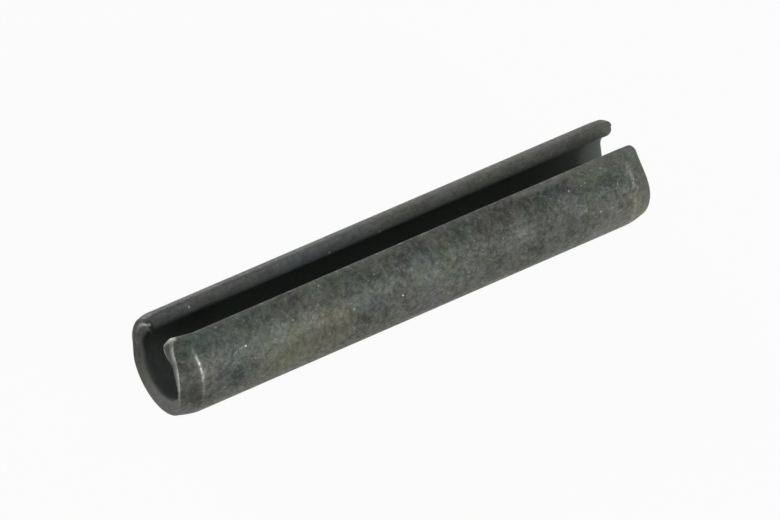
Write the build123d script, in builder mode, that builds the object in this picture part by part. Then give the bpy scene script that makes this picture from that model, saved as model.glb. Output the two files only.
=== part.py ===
"""Slotted spring pin, 8 x 45 mm: a fastener rolled from one strip of spring steel.

The strip's two long edges stop short of each other and leave a slot along the whole pin.
Both ends are swaged inwards, so that the pin starts into a hole smaller than itself.
Driven in, it closes across the slot and grips the hole by its own spring.

Frame: the pin lies along X with its slot straight up (+Z), as it comes to rest by itself.
The origin is on the axis of the outer cylinder, half-way along the pin.
"""
import os
from math import asin, atan2, cos, degrees, hypot, radians, sin, tan

from build123d import *

# ---- Driving dimensions, in millimetres, for the relaxed pin ----
length = 45.0
free_diameter = 8.72  # a little over the 8 mm hole that the pin is made for
wall = 1.4  # thickness of the strip
slot_width = 3.36  # between the outer corners of the two lips, before they are rounded
end_diameter = 7.9  # over the swaged ends, so that they enter the 8 mm hole
swage_length = 1.7  # along the axis, from an end to the crease
crease_radius = 0.4  # where the wall turns inwards, outside and in the bore
end_edge_radius = 0.22  # tumbled edges of both end faces
lip_outer_radius = 0.25  # tumbled outer edge of each lip
lip_inner_radius = 0.7  # the strip's sheared edge, rolled over on the side that became the bore

# ---- Worked out from them ----
outer_radius = free_diameter / 2
bore_radius = outer_radius - wall
middle_radius = (outer_radius + bore_radius) / 2
slot_half_angle = degrees(asin(slot_width / free_diameter))
swage_drop = (free_diameter - end_diameter) / 2
swage_angle = atan2(swage_drop, swage_length)

# ---- The strip's lengthwise section: x along the pin, y outwards from its axis ----
# The swaged wall keeps its thickness, so the end face leans with it. Its outer corner is drawn
# a little beyond the pin's length, which the rounding of that corner takes off again.
rounded_off = end_edge_radius * (cos(swage_angle) + sin(swage_angle) - 1)
end_outer = (-length / 2 - rounded_off, end_diameter / 2 - rounded_off * tan(swage_angle))
end_inner = (
    end_outer[0] + wall * sin(swage_angle),
    end_outer[1] - wall * cos(swage_angle),
)
crease_outer = (-length / 2 + swage_length, outer_radius)
crease_inner = (crease_outer[0] + wall * tan(swage_angle / 2), bore_radius)
middle_outer = (0, outer_radius)
middle_inner = (0, bore_radius)

# The section is drawn on the far lip, and turns from there under the pin to the near lip.
far_lip = Plane(
    origin=(0, 0, 0),
    x_dir=(1, 0, 0),
    z_dir=(0, -cos(radians(slot_half_angle)), sin(radians(slot_half_angle))),
)
rolling_axis = Axis((0, 0, 0), (-1, 0, 0))


def runs_lengthwise(edge):
    """True for an edge along a lip, and False for one across the strip's end."""
    return abs((edge % 0.5).X) > cos(radians(45))


def is_outer(edge):
    """True for an edge nearer to the outer surface than to the bore."""
    middle = edge @ 0.5
    return hypot(middle.Y, middle.Z) > middle_radius


def lip_edges():
    """The edges that run along the two lips."""
    lips = spring_pin.faces().filter_by(GeomType.PLANE)
    return lips.edges().filter_by(runs_lengthwise)


with BuildPart() as spring_pin:
    with BuildSketch(far_lip) as strip_section:
        with BuildLine():
            Polyline(
                middle_inner,
                crease_inner,
                end_inner,
                end_outer,
                crease_outer,
                middle_outer,
                close=True,
            )
        make_face()
        crease_corners = strip_section.vertices().sort_by(Axis.X)[2:4]
        fillet(crease_corners, crease_radius)
        mirror(about=Plane.YZ)
    revolve(axis=rolling_axis, revolution_arc=360 - 2 * slot_half_angle)

    # Both lips: the outer edges first, then the rolled-over inner ones.
    fillet(lip_edges().filter_by(is_outer), lip_outer_radius)
    fillet(lip_edges().filter_by(is_outer, reverse=True), lip_inner_radius)

    # The end faces lean inwards with the swaged wall, so they are the outermost cones.
    cones = spring_pin.faces().filter_by(GeomType.CONE).sort_by(Axis.X)
    fillet(cones[0].edges() + cones[-1].edges(), end_edge_radius)

spring_pin.part.label = "spring_pin"

os.makedirs("parts", exist_ok=True)
export_step(spring_pin.part, "parts/spring_pin.step")

slot_at_bore = 2 * bore_radius * sin(radians(slot_half_angle))
print(f"slot {slot_width:.2f} mm at the outside, {slot_at_bore:.2f} mm at the bore")
print(f"swage angle {degrees(swage_angle):.1f} degrees")
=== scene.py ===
"""Looks of a slotted spring pin: blackened spring steel rolled into a C, with its ends swaged in.

The pin lies along X on a plain floor with its slot straight up. Lengths are in millimetres
until a mesh, a lamp or the camera is made, and angles are in degrees unless a name says otherwise.

A place on the strip is given by three numbers: along, the distance from mid-length, negative
towards the near end; around, the angle from the bottom of the pin, positive towards the near
side; and depth, the distance into the wall from its outer surface. The near end is the one at
-X, and the near side, which ends in the near lip, is the one at -Y.
"""
import math

import bpy
import numpy as np
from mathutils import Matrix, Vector


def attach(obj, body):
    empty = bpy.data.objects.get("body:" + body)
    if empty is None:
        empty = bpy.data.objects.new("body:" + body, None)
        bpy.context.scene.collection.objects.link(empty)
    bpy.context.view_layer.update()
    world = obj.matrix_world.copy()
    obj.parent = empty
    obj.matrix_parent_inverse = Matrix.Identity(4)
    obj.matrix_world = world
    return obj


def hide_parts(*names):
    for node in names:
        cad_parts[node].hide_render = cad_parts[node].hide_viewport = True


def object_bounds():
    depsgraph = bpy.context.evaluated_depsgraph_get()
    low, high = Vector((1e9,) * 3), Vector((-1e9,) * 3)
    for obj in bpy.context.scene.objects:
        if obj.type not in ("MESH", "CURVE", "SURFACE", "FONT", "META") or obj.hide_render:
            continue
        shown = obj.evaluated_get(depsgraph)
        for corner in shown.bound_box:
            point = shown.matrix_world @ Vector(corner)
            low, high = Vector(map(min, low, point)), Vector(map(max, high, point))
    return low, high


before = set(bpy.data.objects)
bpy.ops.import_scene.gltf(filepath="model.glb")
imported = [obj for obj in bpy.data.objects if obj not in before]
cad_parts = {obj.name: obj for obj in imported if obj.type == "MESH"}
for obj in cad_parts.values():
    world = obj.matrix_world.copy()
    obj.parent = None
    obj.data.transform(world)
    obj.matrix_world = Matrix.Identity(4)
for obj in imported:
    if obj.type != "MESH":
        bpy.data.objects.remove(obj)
cad_low, cad_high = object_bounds()

MM = 0.001  # Blender's metres in a millimetre

# ---- Sizes taken from the frame ----
half_length = cad_high.x / MM
outer_radius = min(cad_high.y, -cad_low.z) / MM
floor_height = cad_low.z  # in metres

# ---- The strip, as rolled ----
wall = 1.4
lip_angle = 157.0  # from the bottom of the pin to each lip
lip_outer_rounding = 0.25
lip_inner_rounding = 0.5  # the sheared edge, rolled over
end_outer_rounding = 0.22
end_inner_rounding = 0.35


def ramp(value, start, end):
    """0 before start, 1 after end, and a smooth rise between them."""
    t = np.clip((value - start) / (end - start), 0, 1)
    return t * t * (3 - 2 * t)


def hump(value, middle, width):
    """1 at middle, falling smoothly to almost nothing at twice the width on both sides."""
    return np.exp(-(((value - middle) / width) ** 2))


# ---- How the near end was swaged and worn ----
# Each term of these measures is an amount, times a ramp or a hump over the angles where it
# applies. The lips are at 157 and -157 degrees, the pin's sides at 90 and -90.
def near_setback(around):
    """How far the outer edge of the end stands back from the pin's furthest point."""
    front_lobe = 0.50 * hump(around, 95, 38) - 0.07 * ramp(around, 70, 110)
    lip_step = 0.50 * ramp(around, 135, 158)
    back = 0.20 * hump(around, -105, 40) + 0.11 * hump(around, -82, 12)
    return 0.50 - front_lobe + lip_step + back


def near_bevel(around):
    """How much longer the wall is at its bore side than at its outer side."""
    at_lip = 0.88 * ramp(around, 118, 168)
    on_front = 0.36 * hump(around, 82, 27)
    at_back = 0.16 * hump(around, -108, 30)
    return at_lip - on_front + at_back


def near_crease(around):
    """Distance of the crease from the end of the pin."""
    along_front = 0.55 * ramp(around, -130, -20) + 0.10 * hump(around, 75, 35)
    at_lip = 0.55 * ramp(around, 138, 157)
    low_down = 0.05 * hump(around, 40, 28)
    high_up = 0.22 * hump(around, 112, 32)
    return 1.35 + along_front + at_lip + low_down + high_up


def near_swage(around):
    """Angle by which the wall turns inwards."""
    pushed_in_further = 4.0 * ramp(-around, 90, 140)
    return 14.5 + pushed_in_further


def near_crease_length(around):
    """Length of strip over which the crease bends: short where it is crisp."""
    crisp = 0.43 * hump(around, 112, 24)
    at_lip = 0.30 * ramp(around, 138, 157)
    low_down = 0.50 * hump(around, 35, 28)
    return 0.60 - crisp + at_lip + low_down


def near_thinning(around):
    """Share of the wall's thickness lost by the end."""
    on_front = 0.12 * hump(around, 62, 36)
    at_back = 0.15 * hump(around, -142, 20)
    return on_front + at_back


def near_closing(distance, around, depth):
    """Angle by which the near lip closes over the slot, and by which its tip leans over."""
    by_the_end = ramp(distance, half_length - 3.0, half_length - 0.5)
    closed = 6.8 * by_the_end * ramp(around, 70, 157)
    at_tip = ramp(distance, half_length - 2.2, half_length - 0.4) * ramp(around, 128, 157)
    return closed + 7.0 * at_tip * depth / wall


# ---- The same measures at the far end ----
def far_setback(around):
    """The inner side of the wall reaches as far as the pin does, so its outer side stands back."""
    lip_corner = 0.34 * ramp(around, 146, 158) ** 2 + 0.22 * hump(around, 132, 26)
    at_back = 0.18 * ramp(-around, 10, 70) - 0.165 * ramp(-around, 128, 152)
    front_lobe = 0.10 * hump(around, 90, 40)
    return 0.10 - front_lobe + (lip_corner + at_back)


def far_bevel(around):
    at_back = 0.20 * ramp(-around, 10, 70) + 0.36 * hump(around, -80, 26)
    at_lip = 0.10 * ramp(-around, 128, 154)
    return at_back + at_lip


def far_crease(around):
    low_down = 0.15 * hump(around, 50, 30)
    return 1.25 + low_down


def far_swage(around):
    """The far lip was hardly pushed in, and the near one less than the wall below it."""
    less_at_back = 10.5 * ramp(-around, 60, 150)
    less_at_lip = 5.0 * ramp(around, 135, 157)
    return 13.5 - less_at_back - less_at_lip


def far_crease_length(around):
    crisp = 0.25 * hump(around, 115, 30)
    return 1.15 - crisp


def far_thinning(around):
    """The wall keeps its thickness."""
    return np.zeros_like(around)


def far_closing(distance, around, depth):
    """The lips stay as they were rolled."""
    return np.zeros_like(around)


near_end = dict(
    towards=-1,  # along X
    setback=near_setback,
    bevel=near_bevel,
    crease=near_crease,
    swage=near_swage,
    crease_length=near_crease_length,
    thinning=near_thinning,
    closing=near_closing,
)
far_end = dict(
    towards=1,
    setback=far_setback,
    bevel=far_bevel,
    crease=far_crease,
    swage=far_swage,
    crease_length=far_crease_length,
    thinning=far_thinning,
    closing=far_closing,
)

# ---- The mesh of the strip ----
# A lattice box, with every edge rounded, that is then rolled up. A station says how far along
# the flat part a lattice plane is (-1 to 1), and how far round the edge beyond it, as the
# tangent of the angle turned (0 on the flat part, 1 at 45 degrees).
edge_steps = 6
planes_across = 121  # from lip to lip, between the rounded edges
planes_through = 5  # from the outer surface to the bore
spacing_at_middle = 0.30  # between the planes along the pin
closer_by_the_ends = 0.19
closer_by_the_creases = 0.06
thinned_over = 1.2  # length of strip beyond the crease in which the wall thins
never_zero = 1e-6  # added to two shares that are both 0 on the strip's two broad faces


def stations(flat_part):
    """The stations of a flat part, with those round its edges before and after them."""
    turned = np.tan(np.linspace(0, math.pi / 4, edge_steps + 1)[1:])
    first = [(-1.0, -t) for t in turned[::-1]]
    last = [(1.0, t) for t in turned]
    return np.array(first + [(f, 0.0) for f in flat_part] + last)


def lengthwise_fractions():
    """Closest together at the creases, close towards the ends, and wider between."""
    places = [0.0]
    while places[-1] < 1:
        from_end = (1 - places[-1]) * half_length
        by_end = 1 - ramp(from_end, 4, 9)
        by_crease = hump(from_end, 1.8, 0.5)
        spacing = spacing_at_middle - closer_by_the_ends * by_end - closer_by_the_creases * by_crease
        places.append(places[-1] + spacing / half_length)
    one_side = np.array(places[1:]) / places[-1]
    return np.concatenate([-one_side[::-1], [0.0], one_side])


def strip_lattice():
    """Fractions and turns of each surface vertex, three of each, and the quads between them."""
    lattice = [
        stations(lengthwise_fractions()),
        stations(np.linspace(-1, 1, planes_across)),
        stations(np.linspace(-1, 1, planes_through)),
    ]
    count = [len(s) for s in lattice]
    index = np.indices(count).reshape(3, -1).T
    on_surface = ((index == 0) | (index == np.array(count) - 1)).any(axis=1)
    number = np.full(count, -1)
    number.reshape(-1)[on_surface] = np.arange(on_surface.sum())
    picked = index[on_surface]
    fraction = np.stack([lattice[k][picked[:, k], 0] for k in range(3)], axis=1)
    turned = np.stack([lattice[k][picked[:, k], 1] for k in range(3)], axis=1)
    quads = []
    for direction in range(3):
        for side in (0, -1):
            sheet = np.take(number, side, axis=direction)
            corners = [sheet[:-1, :-1], sheet[1:, :-1], sheet[1:, 1:], sheet[:-1, 1:]]
            if (side == 0) == (direction == 1):  # so that every quad faces outwards
                corners.reverse()
            quads.append(np.stack(corners, axis=-1).reshape(-1, 4))
    return fraction, turned, np.concatenate(quads)


def crease_bend(around, end):
    """The angle that an end's crease turns, in radians, the strip it takes, and where it starts."""
    swage = np.radians(end["swage"](around))
    bend = end["crease_length"](around)
    return swage, bend, half_length - end["crease"](around) - bend / 2


def swaged(distance, depth, around, end):
    """Distance towards the end and radius, for strip pushed in beyond the end's crease."""
    swage, bend, crease = crease_bend(around, end)
    beyond = np.maximum(distance - crease, 0)
    turned = swage * np.clip(beyond / bend, 0, 1)
    reach = bend / swage
    straight = np.maximum(beyond - bend, 0)
    forward = np.minimum(distance, crease) + reach * np.sin(turned) + straight * np.cos(swage)
    radius = outer_radius - reach * (1 - np.cos(turned)) - straight * np.sin(swage)
    depth = depth * (1 - end["thinning"](around) * np.clip(beyond / thinned_over, 0, 1))
    return forward - depth * np.sin(turned), radius - depth * np.cos(turned)


def strip_end(around, end):
    """Length of strip from mid-length that brings its outer edge to the end's setback."""
    swage, bend, crease = crease_bend(around, end)
    left = half_length - end["setback"](around) - crease - bend / swage * np.sin(swage)
    return crease + bend + left / np.cos(swage)


def edge_roundings(fraction, outer_half):
    """Radii to which the strip's ends and lips are rounded, at each vertex."""
    lengthwise, across = fraction[:, 0], fraction[:, 1]
    end_rounding = np.where(outer_half, end_outer_rounding, end_inner_rounding)
    lip_rounding = np.where(outer_half, lip_outer_rounding, lip_inner_rounding)
    at_near_tip = ramp(across, 0.80, 0.97) * ramp(-lengthwise, 0.90, 0.98)
    lip_rounding = lip_rounding + at_near_tip * np.where(outer_half, 0.05, -0.02)
    at_near_front = ramp(across, 0.35, 0.60) * (lengthwise < 0)
    at_near_back = ramp(-across, 0.40, 0.60) * (lengthwise < 0)
    at_far_corner = ramp(-across, 0.86, 1.0) * (lengthwise > 0)
    # How much more rounded the ends are there, at their outer edge and in the bore
    differences = (
        (at_far_corner, 0.37, 0.42),
        (at_near_front, -0.08, -0.17),
        (at_near_back, 0.0, -0.15),
    )
    for there, outside, in_bore in differences:
        end_rounding = end_rounding + there * np.where(outer_half, outside, in_bore)
    return end_rounding, lip_rounding


def rolled_strip(fraction, turned):
    """Places of the vertices in millimetres, their along and around, and their distances.

    The distances are from the end, the crease and the lip, and into the wall.
    """
    turned = turned / np.linalg.norm(turned, axis=1, keepdims=True)
    outer_half = fraction[:, 2] < 0
    end_rounding, lip_rounding = edge_roundings(fraction, outer_half)
    towards_end = np.abs(turned[:, 0]) + never_zero
    towards_lip = np.abs(turned[:, 1]) + never_zero
    rounding = end_rounding * towards_end + lip_rounding * towards_lip
    rounding = rounding / (towards_end + towards_lip)
    depth = wall / 2 + fraction[:, 2] * (wall / 2 - rounding) + rounding * turned[:, 2]

    arc_radius = outer_radius - depth
    inset = np.degrees(lip_rounding / arc_radius)
    around = fraction[:, 1] * (lip_angle - inset) + inset * turned[:, 1]

    places = np.zeros((len(depth), 3))
    along, to_end, to_crease = np.zeros((3, len(depth)))
    near_half = fraction[:, 0] < 0
    for half, end in ((near_half, near_end), (~near_half, far_end)):
        angle = around[half]
        length = strip_end(angle, end) + end["bevel"](angle) * depth[half] / wall
        corner = end_rounding[half]
        distance = np.abs(fraction[half, 0]) * (length - corner) + corner * np.abs(turned[half, 0])
        forward, radius = swaged(distance, depth[half], angle, end)
        turn = np.radians(180 + (angle + end["closing"](distance, angle, depth[half])))
        lengthwise = end["towards"] * forward
        places[half] = np.stack([lengthwise, radius * np.sin(turn), radius * np.cos(turn)], axis=1)
        along[half] = end["towards"] * distance
        to_end[half] = length - distance
        to_crease[half] = half_length - end["crease"](angle) - distance
    to_lip = (lip_angle - np.abs(around)) * np.radians(1) * outer_radius
    fields = {"to_end": to_end, "to_crease": to_crease, "to_lip": to_lip, "depth": depth}
    return places, along, around, fields


def strip_mesh():
    """The rolled strip, with the UV map that unrolls it and its distances as attributes."""
    fraction, turned, quads = strip_lattice()
    places, along, around, fields = rolled_strip(fraction, turned)
    mesh = bpy.data.meshes.new("spring_pin_strip")
    mesh.from_pydata((places * MM).tolist(), [], quads.tolist())
    mesh.update()
    mesh.shade_smooth()
    strip = mesh.uv_layers.new(name="strip")
    corner_vertex = np.zeros(len(mesh.loops), dtype=int)
    mesh.loops.foreach_get("vertex_index", corner_vertex)
    unrolled = np.stack([along, np.radians(around) * outer_radius], axis=1)
    strip.data.foreach_set("uv", unrolled[corner_vertex].astype(np.float32).reshape(-1))
    for name, values in fields.items():
        field = mesh.attributes.new(name, "FLOAT", "POINT")
        field.data.foreach_set("value", values.astype(np.float32))
    return mesh


def make_pin():
    pin = bpy.data.objects.new("rolled_spring_pin", strip_mesh())
    bpy.context.scene.collection.objects.link(pin)
    pin.data.materials.append(blackened_steel())
    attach(pin, "root")
    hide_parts("spring_pin")


# ---- Colours, in linear light ----
black = (0.0, 0.0, 0.0, 1)
white = (1, 1, 1, 1)
bare_steel = (0.42, 0.42, 0.39, 1)
# The bore is painted lighter by the near end and darker by the far end, as painted light and shade
bore_painted_lighter_by_near_end = (0.136, 0.156, 0.143, 1)
bore_painted_darker_by_far_end = (0.103, 0.117, 0.107, 1)
paper = (0.90, 0.90, 0.90, 1)

# ---- How light the oxide is ----
oxide_green = 0.050  # its green where its light is 1
darkest_light = 0.02  # before its patterns lighten it
least_light = 0.35
lip_light = 1.38  # on the sheared faces of the lips
# The band pressed in at the far end is painted lighter, as painted light:
pressed_painted_light = 2.00  # in the band pressed in at the far end
pattern_weights = dict(patches=0.40, blotches=0.55, mottle=0.92, grains=0.36, flecks=1.30)

# ---- How far its red and its blue fall short of its green, where its light is 1 ----
least_red_short = 0.0015
red_short_in_greener = 0.0090  # added in the greener patches
least_blue_short = 0.0120
blue_short_in_greener = 0.0045
blue_short_in_bluer = 0.0080  # taken off in the bluer patches
steady_tint = 0.40  # share of both that does not grow with the light

# ---- How far each of these covers what lies under it, from 0 to 1 ----
lip_plainness = 0.35
# Also how far the painted light covers the far end's pressed band:
pressed_plainness_and_light = 0.55
bore_cover = 0.80
# A painted shadow of the far lip in the bore, by the near end:
bore_painted_shadow = 0.70  # under the far lip, by the near end
near_lip_dullness = 0.32
# Painted shade in a groove across the far side of the near end's face:
groove_shade_share = 0.35
# Painted shade that dims the highlight on the far lip's corner, by the near end:
far_corner_shade_share = 0.80
soft_line_wear = 0.07
near_crease_wear = 0.80
near_crease_glow = 0.12  # the fainter, wider wear beside that crease
far_crease_wear = 0.26
far_corner_wear = 0.75
low_end_wear = 0.34

# ---- Gloss, relief and light ----
oxide_roughness = 0.60
mottle_smoothness = 0.10
wear_smoothness = 0.12
bore_roughness = 0.18  # more than the outside
corner_roughness = 0.25  # more on the far lip's corner, by the near end
oxide_metallic = 0.10
bare_metallic = 0.80
specular_level = 0.34
relief_strength = 0.35
relief_height = 0.02
elsewhere_by = (31.0, 17.0, 53.0)  # so that two noises of about the same scale differ
crease_wander = 0.30  # width of the band in which the worn line strays along a crease
floor_glow = 0.95  # how white the floor shows; the rest is lit paper, which keeps the shadow
room_light = 0.28  # strength of the white room's light on the pin and the floor

# Bare specks and nicks: along, arc, lean in radians, half length, half width, how bare
marks = [
    (-17.8, 11.5, 0.4, 0.11, 0.09, 0.45),
    (-16.1, 9.2, 0.4, 0.15, 0.09, 0.65),
    (-17.1, 9.0, 0.5, 0.45, 0.05, 0.29),
    (-16.5, 9.2, 0.1, 0.35, 0.05, 0.30),
    (-15.5, 7.9, 0.0, 0.08, 0.08, 0.45),
    (-11.5, 9.6, 0.9, 0.10, 0.08, 0.40),
    (-8.3, 11.3, 1.1, 0.11, 0.09, 0.55),
    (-6.1, 8.4, 0.0, 0.10, 0.08, 0.50),
    (-1.6, 7.8, 0.2, 0.11, 0.10, 0.95),
    (-4.2, 10.1, 0.0, 0.08, 0.07, 0.35),
    (15.1, 10.3, 0.8, 0.12, 0.08, 0.60),
    (16.3, 10.3, 0.0, 0.09, 0.08, 0.40),
    (16.7, 10.4, 0.5, 0.11, 0.07, 0.45),
    (18.5, 11.0, 0.3, 0.10, 0.09, 0.45),
    (19.4, 9.3, 1.2, 0.14, 0.07, 0.40),
    (20.9, 9.1, 0.9, 0.12, 0.07, 0.45),
    (17.4, 7.6, 0.2, 0.12, 0.10, 0.60),
    (18.6, 7.5, 0.0, 0.10, 0.08, 0.45),
    (19.2, 6.9, 0.1, 0.30, 0.06, 0.45),
    (15.5, 8.6, 0.7, 0.10, 0.06, 0.35),
    (8.2, 8.9, 0.4, 0.09, 0.08, 0.35),
    (4.6, 6.9, 0.0, 0.10, 0.07, 0.35),
    (-20.6, -4.1, 0.4, 0.15, 0.08, 0.40),
    (-9.5, -7.3, 0.0, 0.11, 0.10, 0.45),
    (1.2, -3.3, 1.0, 0.30, 0.06, 0.40),
    (8.1, -8.0, 0.2, 0.12, 0.09, 0.45),
    (14.6, -5.2, 0.7, 0.14, 0.08, 0.40),
    (-4.7, 0.9, 0.5, 0.35, 0.06, 0.35),
    (11.7, 1.3, 0.0, 0.11, 0.10, 0.40),
]

# Clouds in the oxide: along, arc, half length, half width, how much lighter, redder and bluer
clouds = [
    (-11.5, 7.2, 8.0, 3.4, 0.50, 0.0030, -0.0070),
    (-17.0, 10.8, 4.8, 2.6, 0.12, -0.0060, 0.0),
    (-16.8, 8.0, 2.8, 2.0, -0.35, -0.0020, 0.0080),
    (-21.0, 7.8, 3.0, 3.8, -0.30, 0.0010, 0.0),
    (-19.3, 8.9, 1.4, 1.6, 0.30, 0.0040, -0.0030),
    (-14.3, 11.7, 2.2, 1.3, 0.35, 0.0, 0.0),
    (-3.3, 11.7, 2.4, 1.3, 0.40, 0.0, 0.0),
    (2.6, 11.6, 2.2, 1.3, 0.30, 0.0, 0.0),
    (7.5, 9.4, 7.5, 2.6, -0.35, 0.0020, -0.0020),
    (-4.2, 7.9, 1.9, 1.8, -0.05, 0.0, 0.0050),
    (19.6, 11.8, 5.5, 2.4, 1.00, 0.0, -0.0030),
    (14.5, 9.6, 3.5, 1.5, -0.20, 0.0, 0.0),
    (19.8, 5.8, 4.5, 3.4, 0.65, 0.0030, -0.0030),
    (1.5, 6.8, 5.0, 2.2, 0.35, 0.0, 0.0),
    (19.2, 9.9, 1.3, 1.0, -0.60, -0.0030, 0.0020),
    (12.8, 11.8, 3.6, 0.8, 1.10, 0.0, 0.0),
    (-16.7, 6.8, 1.9, 1.5, -0.35, -0.0050, -0.0040),
    (-8.9, 10.8, 1.7, 1.1, 0.40, 0.0, 0.0),
    (-3.2, 9.9, 1.4, 1.1, -0.30, 0.0, 0.0),
    (-5.6, 6.9, 1.7, 1.2, -0.30, 0.0, 0.0),
    (9.6, 8.0, 3.0, 1.2, 0.35, 0.0, 0.0),
    (17.0, 6.9, 1.7, 1.2, -0.30, 0.0, 0.0),
    (-13.0, -11.9, 17.0, 1.3, 0.15, 0.0, 0.0090),
    (-4.0, -11.9, 9.0, 1.3, 0.15, -0.0030, 0.0),
]

# Bare specks on the far lip's sheared face: along, depth, half size, how bare
lip_specks = [
    (-18.0, 0.60, 0.14, 0.50),
    (-4.9, 1.10, 0.16, 0.80),
    (-0.1, 1.15, 0.16, 1.00),
]


# ---- Ways to build the materials ----
class Shader:
    """Short ways to add nodes to a node tree."""

    def __init__(self, tree):
        self.tree = tree

    def node(self, kind, **settings):
        node = self.tree.nodes.new(kind)
        for name, value in settings.items():
            setattr(node, name, value)
        return node

    def feed(self, value, socket):
        """Link another socket to this one, or set a plain value."""
        if isinstance(value, bpy.types.NodeSocket):
            self.tree.links.new(value, socket)
        else:
            socket.default_value = value

    def math(self, operation, first, second=0.0):
        node = self.node("ShaderNodeMath", operation=operation)
        self.feed(first, node.inputs[0])
        self.feed(second, node.inputs[1])
        return node.outputs[0]

    def all_of(self, operation, values):
        """The operation over all the values, from the first to the last."""
        result = values[0]
        for value in values[1:]:
            result = self.math(operation, result, value)
        return result

    def plus(self, *values):
        return self.all_of("ADD", values)

    def minus(self, first, second):
        return self.math("SUBTRACT", first, second)

    def times(self, *values):
        return self.all_of("MULTIPLY", values)

    def most(self, *values):
        return self.all_of("MAXIMUM", values)

    def ramp(self, value, low, high, to_low=0.0, to_high=1.0):
        """to_low at low, to_high at high, with a smooth change between."""
        node = self.node("ShaderNodeMapRange", interpolation_type="SMOOTHSTEP")
        self.feed(value, node.inputs["Value"])
        node.inputs["From Min"].default_value = low
        node.inputs["From Max"].default_value = high
        node.inputs["To Min"].default_value = to_low
        node.inputs["To Max"].default_value = to_high
        return node.outputs["Result"]

    def fall(self, value, low, high):
        """1 at low, 0 at high, with a smooth change between."""
        return self.ramp(value, low, high, 1.0, 0.0)

    def band(self, value, middle, width):
        """1 where value is middle, falling to 0 at width on both sides of it."""
        return self.fall(self.math("ABSOLUTE", self.minus(value, middle)), 0.0, width)

    def noise(self, vector, scale, detail=2.0, roughness=0.5, distortion=0.0):
        node = self.node("ShaderNodeTexNoise")
        self.feed(vector, node.inputs["Vector"])
        node.inputs["Scale"].default_value = scale
        node.inputs["Detail"].default_value = detail
        node.inputs["Roughness"].default_value = roughness
        node.inputs["Distortion"].default_value = distortion
        return node.outputs["Fac"]

    def mix(self, share, first, second):
        """Two colours mixed: the first at share 0, the second at 1."""
        node = self.node("ShaderNodeMix", data_type="RGBA")
        self.feed(share, node.inputs[0])
        self.feed(first, node.inputs[6])
        self.feed(second, node.inputs[7])
        return node.outputs[2]

    def blend(self, share, first, second):
        """Two values mixed in the same way."""
        node = self.node("ShaderNodeMix", data_type="FLOAT")
        self.feed(share, node.inputs[0])
        self.feed(first, node.inputs[2])
        self.feed(second, node.inputs[3])
        return node.outputs[0]

    def distance(self, name):
        """One of the distances that the mesh carries."""
        node = self.node("ShaderNodeAttribute", attribute_name=name)
        return node.outputs["Fac"]

    def apart(self, vector):
        """The X and Y of a vector."""
        node = self.node("ShaderNodeSeparateXYZ")
        self.feed(vector, node.inputs["Vector"])
        return node.outputs["X"], node.outputs["Y"]


class PinSurface:
    """What the steel is told about a point of the pin: its place, and masks of the pin's parts."""

    def __init__(self, tool):
        in_millimetres = tool.node("ShaderNodeMapping")
        tool.feed(tool.node("ShaderNodeTexCoord").outputs["Object"], in_millimetres.inputs["Vector"])
        in_millimetres.inputs["Scale"].default_value = (1 / MM, 1 / MM, 1 / MM)
        self.place = in_millimetres.outputs["Vector"]
        moved = tool.node("ShaderNodeMapping")
        tool.feed(self.place, moved.inputs["Vector"])
        moved.inputs["Location"].default_value = elsewhere_by
        self.elsewhere = moved.outputs["Vector"]

        self.strip = tool.node("ShaderNodeUVMap", uv_map="strip").outputs["UV"]
        self.along, self.arc = tool.apart(self.strip)  # arc is around, as millimetres of strip
        self.depth = tool.distance("depth")
        self.to_end = tool.distance("to_end")
        self.to_crease = tool.distance("to_crease")
        self.to_lip = tool.distance("to_lip")

        self.near_half = tool.fall(self.along, -2.0, 0.0)
        self.far_half = tool.ramp(self.along, 0.0, 2.0)
        self.near_side = tool.ramp(self.arc, 1.5, 5.0)
        self.far_side = tool.fall(self.arc, -5.0, -1.5)
        self.outside = tool.fall(self.depth, 0.20, 0.45)
        self.in_bore = tool.ramp(self.depth, 0.75, 1.35)
        self.lip_face = tool.fall(self.to_lip, 0.05, 0.30)
        self.end_face = tool.fall(self.to_end, 0.02, 0.14)
        corner = tool.times(tool.fall(self.to_end, 0.2, 0.5), tool.fall(self.to_lip, 0.2, 0.6))
        self.far_lip_corner = tool.times(corner, tool.times(self.far_side, self.near_half))

        # The oxide's finer patterns, and how whole its worn lines are
        self.mottle = tool.ramp(tool.noise(self.place, 2.4, 3, 0.72, 0.3), 0.34, 0.68)
        self.grains = tool.ramp(tool.noise(self.place, 7.5, 2, 0.65), 0.32, 0.70)
        self.broken = tool.ramp(tool.noise(self.place, 2.1, 3, 0.6), 0.30, 0.70)


def scratch_group():
    """A mask of one oval mark on the strip: its sizes in millimetres and its lean in radians."""
    group = bpy.data.node_groups.new("scratch", "ShaderNodeTree")
    sockets = group.interface
    sockets.new_socket("Strip", in_out="INPUT", socket_type="NodeSocketVector")
    for name in ("Along", "Arc", "Lean", "Half Length", "Half Width"):
        sockets.new_socket(name, in_out="INPUT", socket_type="NodeSocketFloat")
    sockets.new_socket("Mask", in_out="OUTPUT", socket_type="NodeSocketFloat")
    tool = Shader(group)
    given = tool.node("NodeGroupInput").outputs
    along, arc = tool.apart(given["Strip"])
    x = tool.minus(along, given["Along"])
    y = tool.minus(arc, given["Arc"])
    cosine = tool.math("COSINE", given["Lean"])
    sine = tool.math("SINE", given["Lean"])
    lengthwise = tool.plus(tool.times(x, cosine), tool.times(y, sine))
    crosswise = tool.minus(tool.times(y, cosine), tool.times(x, sine))
    lengthwise = tool.math("DIVIDE", lengthwise, given["Half Length"])
    crosswise = tool.math("DIVIDE", crosswise, given["Half Width"])
    squares = tool.plus(tool.times(lengthwise, lengthwise), tool.times(crosswise, crosswise))
    result = tool.node("NodeGroupOutput")
    tool.feed(tool.fall(squares, 0.1, 1.0), result.inputs["Mask"])
    return group


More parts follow.
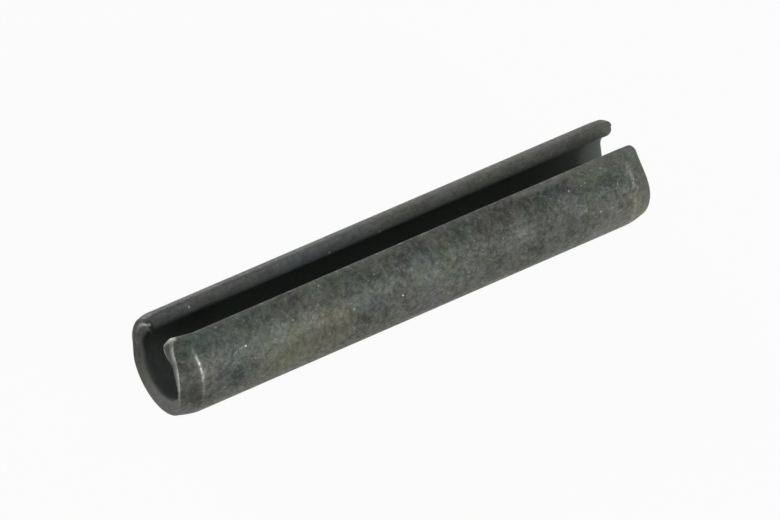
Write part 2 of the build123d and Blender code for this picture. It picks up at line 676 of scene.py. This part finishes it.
def scratch_mask(tool, group, strip, along, arc, half_long, half_wide, lean=0.0):
    """The mask of a mark at one place, with its sizes, from the scratch group."""
    mark = tool.node("ShaderNodeGroup", node_tree=group)
    tool.feed(strip, mark.inputs["Strip"])
    mark.inputs["Along"].default_value = along
    mark.inputs["Arc"].default_value = arc
    mark.inputs["Lean"].default_value = lean
    mark.inputs["Half Length"].default_value = half_long
    mark.inputs["Half Width"].default_value = half_wide
    return mark.outputs["Mask"]


# ---- The oxide's colour ----
def oxide_light(tool, on):
    """How light the oxide is: patches, blotches, mottle and grains, and pale flecks over them."""
    patches = tool.ramp(tool.noise(on.place, 0.30, 2, 0.5), 0.36, 0.64)
    blotches = tool.ramp(tool.noise(on.place, 0.95, 3, 0.6, 0.4), 0.34, 0.68)
    pale = tool.ramp(tool.noise(on.elsewhere, 3.6, 2, 0.6, 0.6), 0.54, 0.70)
    fleck_cover = tool.ramp(tool.noise(on.place, 0.5, 2, 0.5), 0.38, 0.60, 0.25, 1.0)
    flecks = tool.times(pale, fleck_cover)
    patterns = dict(
        patches=patches, blotches=blotches, mottle=on.mottle, grains=on.grains, flecks=flecks
    )
    light = darkest_light
    for name, weight in pattern_weights.items():
        light = tool.plus(light, tool.times(patterns[name], weight))
    return light


def oxide_tint(tool, on):
    """How far the oxide's red and blue fall short of its green: red most of all by the near lip."""
    greener = tool.ramp(tool.noise(on.place, 0.36, 3, 0.55, 0.3), 0.36, 0.64)
    bluer = tool.ramp(tool.noise(on.elsewhere, 0.45, 3, 0.55, 0.3), 0.36, 0.64)
    olive = tool.ramp(on.arc, 6.0, 11.0, 0.60, 1.15)
    red_short = tool.plus(least_red_short, tool.times(greener, red_short_in_greener))
    red_short = tool.times(red_short, olive)
    blue_short = tool.plus(least_blue_short, tool.times(greener, blue_short_in_greener))
    blue_short = tool.minus(blue_short, tool.times(bluer, blue_short_in_bluer))
    return red_short, blue_short


def oxide_colour(tool, on, scratch):
    """Green in the amount of its light, and red and blue a little short of that."""
    light = oxide_light(tool, on)
    red_short, blue_short = oxide_tint(tool, on)
    for along, arc, half_long, half_wide, lighter, redder, bluer in clouds:
        cloud = scratch_mask(tool, scratch, on.strip, along, arc, half_long, half_wide)
        light = tool.plus(light, tool.times(cloud, lighter))
        red_short = tool.minus(red_short, tool.times(cloud, redder))
        blue_short = tool.minus(blue_short, tool.times(cloud, bluer))
    light = tool.most(light, least_light)
    # The sheared faces are plainer, and so is the band pressed in at the far end, which is also
    # painted lighter as painted light
    light = tool.blend(tool.times(on.lip_face, lip_plainness), light, lip_light)
    pressed = tool.times(tool.fall(on.to_crease, -0.8, 0.0), on.far_half)
    light = tool.blend(tool.times(pressed, pressed_plainness_and_light), light, pressed_painted_light)
    green = tool.times(light, oxide_green)
    tint = tool.plus(steady_tint, tool.times(light, 1 - steady_tint))
    shade = tool.node("ShaderNodeCombineColor")
    tool.feed(tool.minus(green, tool.times(red_short, tint)), shade.inputs["Red"])
    tool.feed(green, shade.inputs["Green"])
    tool.feed(tool.minus(green, tool.times(blue_short, tint)), shade.inputs["Blue"])
    return shade.outputs["Color"]


def with_bore_oxide_and_painted_shade(tool, on, colour):
    """The bore kept a thicker, duller oxide, is painted darker towards the far end as painted shade,
    and has a painted shadow under the far lip by the near end.
    """
    # Painted shade: the bore darkens towards the far end
    painted_shade_towards_far_end = tool.ramp(on.along, 8.0, 19.0)
    bore_colour = tool.mix(painted_shade_towards_far_end, bore_painted_lighter_by_near_end, bore_painted_darker_by_far_end)
    colour = tool.mix(tool.times(on.in_bore, bore_cover), colour, bore_colour)
    # A painted shadow of the far lip, in the bore by the near end
    under_far_lip = tool.fall(on.arc, -9.0, -4.5)
    near_mouth = tool.fall(on.along, -17.0, -12.0)
    painted_shadow = tool.times(under_far_lip, near_mouth, on.in_bore)
    return tool.mix(tool.times(painted_shadow, bore_painted_shadow), colour, black)


# ---- Where the oxide is duller, and where painted shade darkens it: masks of how far each part is darkened ----
def dull_and_shaded_faces(tool, on):
    """The near lip's face and the outer part of both end faces, which are duller, and painted shade
    at two places at the near end.

    Those are a groove in the far side of its face, and the far lip's corner, where it dims the
    highlight.
    """
    end_dull = tool.times(on.end_face, tool.ramp(on.depth, 0.30, 0.70, 0.22, 0.0))
    # Painted shade in a groove across the far side of the near end's face
    painted_groove_shade = tool.times(tool.band(on.depth, 0.82, 0.16), groove_shade_share)
    painted_groove_shade = tool.times(painted_groove_shade, tool.times(on.end_face, on.far_side), on.near_half)
    near_lip_dull = tool.times(on.lip_face, on.near_side, near_lip_dullness)
    # Painted shade on the far lip's corner, to dim its highlight
    corner_painted_shade = tool.times(on.far_lip_corner, far_corner_shade_share)
    below_edge = tool.ramp(on.depth, 0.10, 0.50)
    return tool.times(tool.most(near_lip_dull, end_dull, painted_groove_shade, corner_painted_shade), below_edge)


def darkened_far_lip(tool, on):
    """The far lip's face, darkened, most of all in the near half."""
    from_edge = tool.ramp(on.depth, 0.0, 0.15)
    fading = tool.ramp(on.depth, 0.62, 1.05, 1.0, 0.15)
    along_lip = tool.ramp(on.along, -6.0, 8.0, 0.43, 0.28)
    return tool.times(from_edge, fading, tool.times(on.lip_face, on.far_side), along_lip)


def painted_rim_shade(tool, on):
    """Painted shade on the outer edge of the near end, round the lower part of its far side."""
    at_edge = tool.ramp(on.depth, 0.04, 0.18, 0.45, 0.0)
    at_end = tool.fall(on.to_end, 0.1, 0.3)
    return tool.times(at_edge, at_end, tool.band(on.arc, -5.0, 4.0), on.near_half)


# ---- Where the steel is worn: masks of how bare each part is ----
def bare_lips(tool, on):
    """The outer edges of both lips: the near one in glints, with a faint soft line below them."""
    edge = tool.times(tool.band(on.to_lip, 0.12, 0.24), on.outside)
    glints = tool.ramp(tool.noise(on.elsewhere, 1.7, 3, 0.7), 0.50, 0.66, 0.13, 0.45)
    soft_line = tool.times(tool.band(on.to_lip, 0.30, 0.45), soft_line_wear, on.outside)
    near_line = tool.times(tool.most(tool.times(edge, glints), soft_line), on.near_side)
    further_on = tool.ramp(on.along, -12.0, 8.0, 0.11, 0.27)
    on_crest = tool.fall(on.depth, 0.08, 0.20)
    far_line = tool.times(edge, on.far_side, further_on, on_crest)
    return tool.most(near_line, far_line)


def bare_end_edges(tool, on):
    """The outer edges of both ends on the near side, brightest high up at the near end."""
    edge = tool.times(tool.band(on.to_end, 0.08, 0.16), on.outside)
    high_up = tool.ramp(on.arc, 5.0, 8.8, 0.20, 1.0)
    near_line = tool.times(edge, tool.times(on.near_side, on.near_half))
    near_line = tool.times(near_line, tool.ramp(on.broken, 0.0, 1.0, 0.55, 0.95), high_up)
    far_line = tool.times(edge, on.near_side, on.far_half)
    far_line = tool.times(far_line, tool.ramp(on.broken, 0.0, 1.0, 0.05, 0.30))
    return tool.most(near_line, far_line)


def bare_creases(tool, on):
    """The near crease between the pin's side and the near lip, and faintly the far one."""
    wander = tool.times(tool.minus(tool.noise(on.place, 1.3), 0.5), crease_wander)
    from_crease = tool.plus(on.to_crease, wander)
    crisp = tool.times(tool.band(from_crease, 0.0, 0.24), near_crease_wear)
    soft = tool.times(tool.band(from_crease, 0.0, 0.70), near_crease_glow)
    below_lip = tool.fall(on.arc, 9.8, 11.0)
    up_the_side = tool.times(tool.ramp(on.arc, 5.8, 8.6), below_lip, on.near_half)
    near_line = tool.times(tool.most(crisp, soft), on.outside, up_the_side)
    near_line = tool.times(near_line, tool.ramp(on.broken, 0.0, 1.0, 0.35, 1.0))
    faint = tool.times(on.far_half, far_crease_wear, tool.ramp(on.broken, 0.25, 0.75))
    far_line = tool.times(tool.band(from_crease, 0.48, 0.28), on.outside, on.near_side)
    far_line = tool.times(far_line, faint, below_lip)
    return tool.most(near_line, far_line)


def bare_near_tip(tool, on):
    """The near lip's tip at the near end: its corner, and its end face by the bore and the lip."""
    at_tip = tool.ramp(on.arc, 9.6, 11.2)
    edges = tool.most(tool.ramp(on.depth, 1.10, 1.24), tool.fall(on.to_lip, 0.15, 0.45))
    edges = tool.times(on.end_face, at_tip, edges)
    corner = tool.times(tool.fall(on.to_end, 0.25, 0.60), at_tip, tool.fall(on.to_lip, 0.25, 0.60))
    corner = tool.times(corner, tool.ramp(on.depth, 0.30, 0.60, 1.0, 0.15))
    return tool.times(tool.most(edges, corner), on.near_half)


def bare_far_corner(tool, on):
    """The far lip's corner at the near end, and a streak that runs down the end face from it."""
    corner = tool.times(tool.fall(on.to_end, 0.1, 0.3), tool.fall(on.to_lip, 0.1, 0.4))
    corner = tool.times(corner, tool.band(on.depth, 0.50, 0.26))
    corner = tool.times(corner, tool.times(on.far_side, on.near_half), far_corner_wear)
    streak = tool.times(tool.band(on.depth, 0.52, 0.28), on.end_face)
    streak = tool.times(streak, tool.ramp(on.arc, -11.5, -7.5, 0.90, 0.0), on.near_half)
    return tool.most(corner, streak)


def bare_low_end(tool, on):
    """The near end's face around its lowest point."""
    low = tool.band(on.arc, -0.5, 7.5)
    return tool.times(low, on.end_face, on.near_half, low_end_wear)


def bare_metal(tool, on, scratch):
    """How bare the steel is: the most of its worn edges, marks and specks."""
    worn = bare_lips(tool, on)
    for worn_part in (bare_end_edges, bare_creases, bare_near_tip, bare_far_corner, bare_low_end):
        worn = tool.most(worn, worn_part(tool, on))
    for along, arc, lean, half_long, half_wide, bare in marks:
        mark = scratch_mask(tool, scratch, on.strip, along, arc, half_long, half_wide, lean)
        worn = tool.most(worn, tool.times(mark, bare))
    # On the lip's face, depth takes the place of arc
    across_wall = tool.node("ShaderNodeCombineXYZ")
    tool.feed(on.along, across_wall.inputs["X"])
    tool.feed(on.depth, across_wall.inputs["Y"])
    wall_place = across_wall.outputs["Vector"]
    far_lip_face = tool.times(tool.fall(on.to_lip, 0.45, 0.65), on.far_side)
    for along, depth, half_size, bare in lip_specks:
        speck = scratch_mask(tool, scratch, wall_place, along, depth, half_size, half_size)
        worn = tool.most(worn, tool.times(speck, far_lip_face, bare))
    return worn


# ---- The steel as a whole ----
def steel_roughness(tool, on, worn):
    """Smoother where it is mottled pale or worn, rougher in the bore and at the far lip's corner."""
    rough = tool.minus(oxide_roughness, tool.times(on.mottle, mottle_smoothness))
    rough = tool.minus(rough, tool.times(worn, wear_smoothness))
    rough = tool.plus(rough, tool.times(on.in_bore, bore_roughness))
    return tool.plus(rough, tool.times(on.far_lip_corner, corner_roughness))


def oxide_relief(tool, on):
    """Normals of the oxide's fine unevenness."""
    bump = tool.node("ShaderNodeBump")
    bump.inputs["Strength"].default_value = relief_strength
    bump.inputs["Distance"].default_value = relief_height * MM
    height = tool.plus(tool.times(on.grains, 0.5), tool.times(on.mottle, 0.5))
    tool.feed(height, bump.inputs["Height"])
    return bump.outputs["Normal"]


def blackened_steel():
    """Black oxide over spring steel: mottled, finely speckled, and worn bright along its edges."""
    material = bpy.data.materials.new("blackened_steel")
    material.use_nodes = True
    steel = material.node_tree.nodes["Principled BSDF"]
    tool = Shader(material.node_tree)
    on = PinSurface(tool)
    scratch = scratch_group()
    colour = oxide_colour(tool, on, scratch)
    colour = with_bore_oxide_and_painted_shade(tool, on, colour)
    # Duller faces, the far lip's darker face, and painted shade in a groove and on the far lip's
    # corner
    dull_and_shade = tool.most(dull_and_shaded_faces(tool, on), darkened_far_lip(tool, on))
    colour = tool.mix(dull_and_shade, colour, black)
    # Painted shade on the near end's rim
    colour = tool.mix(painted_rim_shade(tool, on), colour, black)
    worn = bare_metal(tool, on, scratch)
    colour = tool.mix(worn, colour, bare_steel)
    tool.feed(colour, steel.inputs["Base Color"])
    metallic = tool.ramp(worn, 0.0, 1.0, oxide_metallic, bare_metallic)
    tool.feed(metallic, steel.inputs["Metallic"])
    steel.inputs["Specular IOR Level"].default_value = specular_level
    tool.feed(steel_roughness(tool, on, worn), steel.inputs["Roughness"])
    tool.feed(oxide_relief(tool, on), steel.inputs["Normal"])
    return material


def paper_white():
    """A pale floor that shows as white behind the pin and in its gloss, and keeps its shadow."""
    material = bpy.data.materials.new("paper_white")
    material.use_nodes = True
    material.node_tree.nodes.clear()
    tool = Shader(material.node_tree)
    lit = tool.node("ShaderNodeBsdfDiffuse")
    lit.inputs["Color"].default_value = paper
    glow = tool.node("ShaderNodeEmission")
    glow.inputs["Color"].default_value = white
    ray = tool.node("ShaderNodeLightPath").outputs
    seen_directly = tool.times(ray["Is Camera Ray"], floor_glow)
    seen_in_gloss = tool.most(ray["Is Glossy Ray"], ray["Is Transmission Ray"])
    mixed = tool.node("ShaderNodeMixShader")
    tool.feed(tool.most(seen_directly, seen_in_gloss), mixed.inputs["Fac"])
    tool.feed(lit.outputs["BSDF"], mixed.inputs[1])
    tool.feed(glow.outputs["Emission"], mixed.inputs[2])
    output = tool.node("ShaderNodeOutputMaterial")
    tool.feed(mixed.outputs["Shader"], output.inputs["Surface"])
    return material


# ---- Floor, light and camera, with their sizes and distances in metres ----
def make_floor():
    reach = 2.0
    mesh = bpy.data.meshes.new("floor")
    sides = ((-reach, -reach), (reach, -reach), (reach, reach), (-reach, reach))
    corners = [(x, y, floor_height) for x, y in sides]
    mesh.from_pydata(corners, [], [(0, 1, 2, 3)])
    floor = bpy.data.objects.new("floor", mesh)
    bpy.context.scene.collection.objects.link(floor)
    floor.data.materials.append(paper_white())


def make_world():
    """A white room that lights the pin faintly, and shows as white behind it and in its gloss."""
    world = bpy.data.worlds.new("studio")
    bpy.context.scene.world = world
    world.use_nodes = True
    world.node_tree.nodes.clear()
    tool = Shader(world.node_tree)
    ray = tool.node("ShaderNodeLightPath").outputs
    seen = tool.most(ray["Is Camera Ray"], ray["Is Glossy Ray"], ray["Is Transmission Ray"])
    strength = tool.node("ShaderNodeMapRange")
    strength.inputs["To Min"].default_value = room_light
    strength.inputs["To Max"].default_value = 1.0
    tool.feed(seen, strength.inputs["Value"])
    sky = tool.node("ShaderNodeBackground")
    sky.inputs["Color"].default_value = white
    tool.feed(strength.outputs["Result"], sky.inputs["Strength"])
    output = tool.node("ShaderNodeOutputWorld")
    tool.feed(sky.outputs["Background"], output.inputs["Surface"])


def direction(azimuth, elevation):
    """Unit vector from the pin: azimuth 0 is -Y, and turns towards +X."""
    turn, rise = math.radians(azimuth), math.radians(elevation)
    level = math.cos(rise)
    return Vector((math.sin(turn) * level, -math.cos(turn) * level, math.sin(rise)))


def make_lamp(name, azimuth, elevation, distance, size, watts):
    """A square lamp that faces the pin."""
    light = bpy.data.lights.new(name, "AREA")
    light.shape = "SQUARE"
    light.size = size
    light.energy = watts
    lamp = bpy.data.objects.new(name, light)
    lamp.location = direction(azimuth, elevation) * distance
    lamp.rotation_mode = "QUATERNION"
    lamp.rotation_quaternion = lamp.location.to_track_quat("Z", "Y")
    bpy.context.scene.collection.objects.link(lamp)


def make_camera():
    view_azimuth, view_elevation = -33.7, 40.35
    distance = 0.79
    width_in_view = 62.0 * MM
    aim_above_axis = 0.65 * MM
    data = bpy.data.cameras.new("camera")
    data.sensor_width = 36
    data.lens = data.sensor_width * distance / width_in_view
    data.clip_start, data.clip_end = 0.01, 10
    camera = bpy.data.objects.new("camera", data)
    back = direction(view_azimuth, view_elevation)
    up = (Vector((0, 0, 1)) - back * back.z).normalized()
    camera.location = back * distance + up * aim_above_axis
    camera.rotation_mode = "QUATERNION"
    camera.rotation_quaternion = back.to_track_quat("Z", "Y")
    bpy.context.scene.collection.objects.link(camera)
    bpy.context.scene.camera = camera


make_pin()
make_floor()
make_world()
make_lamp("front_softbox", azimuth=12, elevation=11, distance=0.6, size=0.22, watts=2.6)
make_lamp("back_softbox", azimuth=180, elevation=12, distance=0.6, size=0.2, watts=1.3)
make_camera()
bpy.context.scene.view_settings.view_transform = "Standard"
